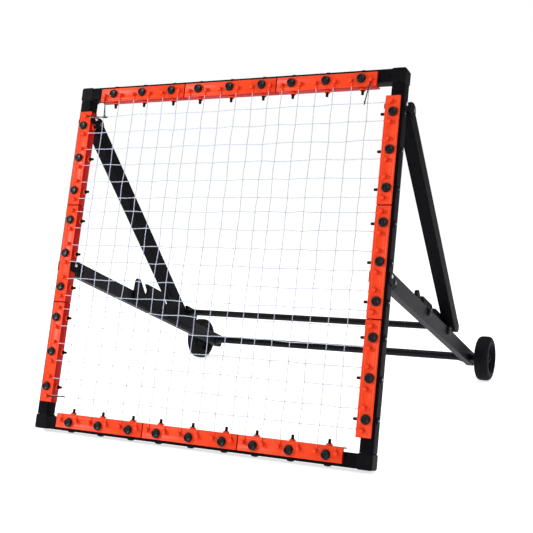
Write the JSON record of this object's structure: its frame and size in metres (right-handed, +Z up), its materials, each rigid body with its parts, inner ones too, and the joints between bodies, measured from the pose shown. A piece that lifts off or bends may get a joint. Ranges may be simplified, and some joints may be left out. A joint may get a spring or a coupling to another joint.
{
  "type": "pitch back rebounder",
  "caption": "Square net in a tube frame that leans back on two hinged legs and two wheeled struts; the leg crossbar drops into open slots to set the angle.",
  "frame": {"origin": "under the middle of the whole object, on the ground", "axes": "+X to the right seen from the net side, +Y to the rear where the wheels are, +Z up"},
  "size_m": [1.38, 1.3434, 1.2009],
  "materials": {
    "paint": "satin black powder coat",
    "corner": "moulded black plastic",
    "notch": "moulded black plastic",
    "rail": "orange-red moulded plastic",
    "net": "pale knotted cord net",
    "tie": "black cord",
    "zinc": "zinc-plated steel",
    "bolt": "blackened steel",
    "tyre": "solid black tread",
    "hub": "moulded black plastic"
  },
  "bodies": {
    "front_frame": {"tube_top": "paint", "tube_bottom": "paint", "tube_left": "paint", "tube_right": "paint", "corner_top_left": "corner", "corner_top_right": "corner", "corner_bottom_left": "corner", "corner_bottom_right": "corner", "rail_left_1": "rail", "rail_left_2": "rail", "rail_left_3": "rail", "rail_top_1": "rail", "rail_top_2": "rail", "rail_top_3": "rail", "rail_right_1": "rail", "rail_right_2": "rail", "rail_right_3": "rail", "rail_bottom_1": "rail", "rail_bottom_2": "rail", "rail_bottom_3": "rail", "net": "net", "tie_top_left_down": "tie", "tie_top_left_across": "tie", "tie_top_right": "tie", "tie_bottom_left": "tie", "leg_hinge_inner_left": "paint", "leg_hinge_inner_right": "paint", "leg_hinge_outer_left": "paint", "leg_hinge_outer_right": "paint", "strut_hinge_inner_left": "paint", "strut_hinge_inner_right": "paint", "strut_hinge_outer_left": "paint", "strut_hinge_outer_right": "paint", "leg_hinge_bolt_left": "zinc", "leg_hinge_bolt_right": "zinc", "strut_hinge_bolt_left": "zinc", "strut_hinge_bolt_right": "zinc", "leg_pivot_left": "zinc", "leg_pivot_right": "zinc", "strut_pivot_left": "zinc", "strut_pivot_right": "zinc"},
    "leg_frame": {"leg_left": "paint", "leg_cap_left": "corner", "leg_right": "paint", "leg_cap_right": "corner", "leg_crossbar": "paint"},
    "strut_frame": {"strut_left": "paint", "strut_cap_left": "corner", "notch_bar_left": "notch", "axle_bolt_left": "bolt", "strut_right": "paint", "strut_cap_right": "corner", "notch_bar_right": "notch", "axle_bolt_right": "bolt", "axle_crossbar": "paint"},
    "left_wheel": {"tyre_left": "tyre", "hub_left": "hub"},
    "right_wheel": {"tyre_right": "tyre", "hub_right": "hub"}
  },
  "joints": [
    {"name": "strut_fold", "type": "hinge", "parent": "front_frame", "child": "strut_frame", "pos_m": [0, -0.41734, 0.53631], "axis": [-1, 0, 0], "range_deg": [0, 83]},
    {"name": "leg_fold", "type": "hinge", "parent": "front_frame", "child": "leg_frame", "pos_m": [0, -0.25426, 1.06682], "axis": [-1, 0, 0], "range_deg": [0, 44]},
    {"name": "left_wheel_spin", "type": "hinge", "parent": "strut_frame", "child": "left_wheel", "pos_m": [-0.666, 0.58172, 0.09004], "axis": [1, 0, 0], "continuous": true},
    {"name": "right_wheel_spin", "type": "hinge", "parent": "strut_frame", "child": "right_wheel", "pos_m": [0.666, 0.58172, 0.09004], "axis": [1, 0, 0], "continuous": true}
  ],
  "couplings": [
    {"joint": "leg_fold", "follows": "strut_fold", "ratio": 0.53}
  ]
}
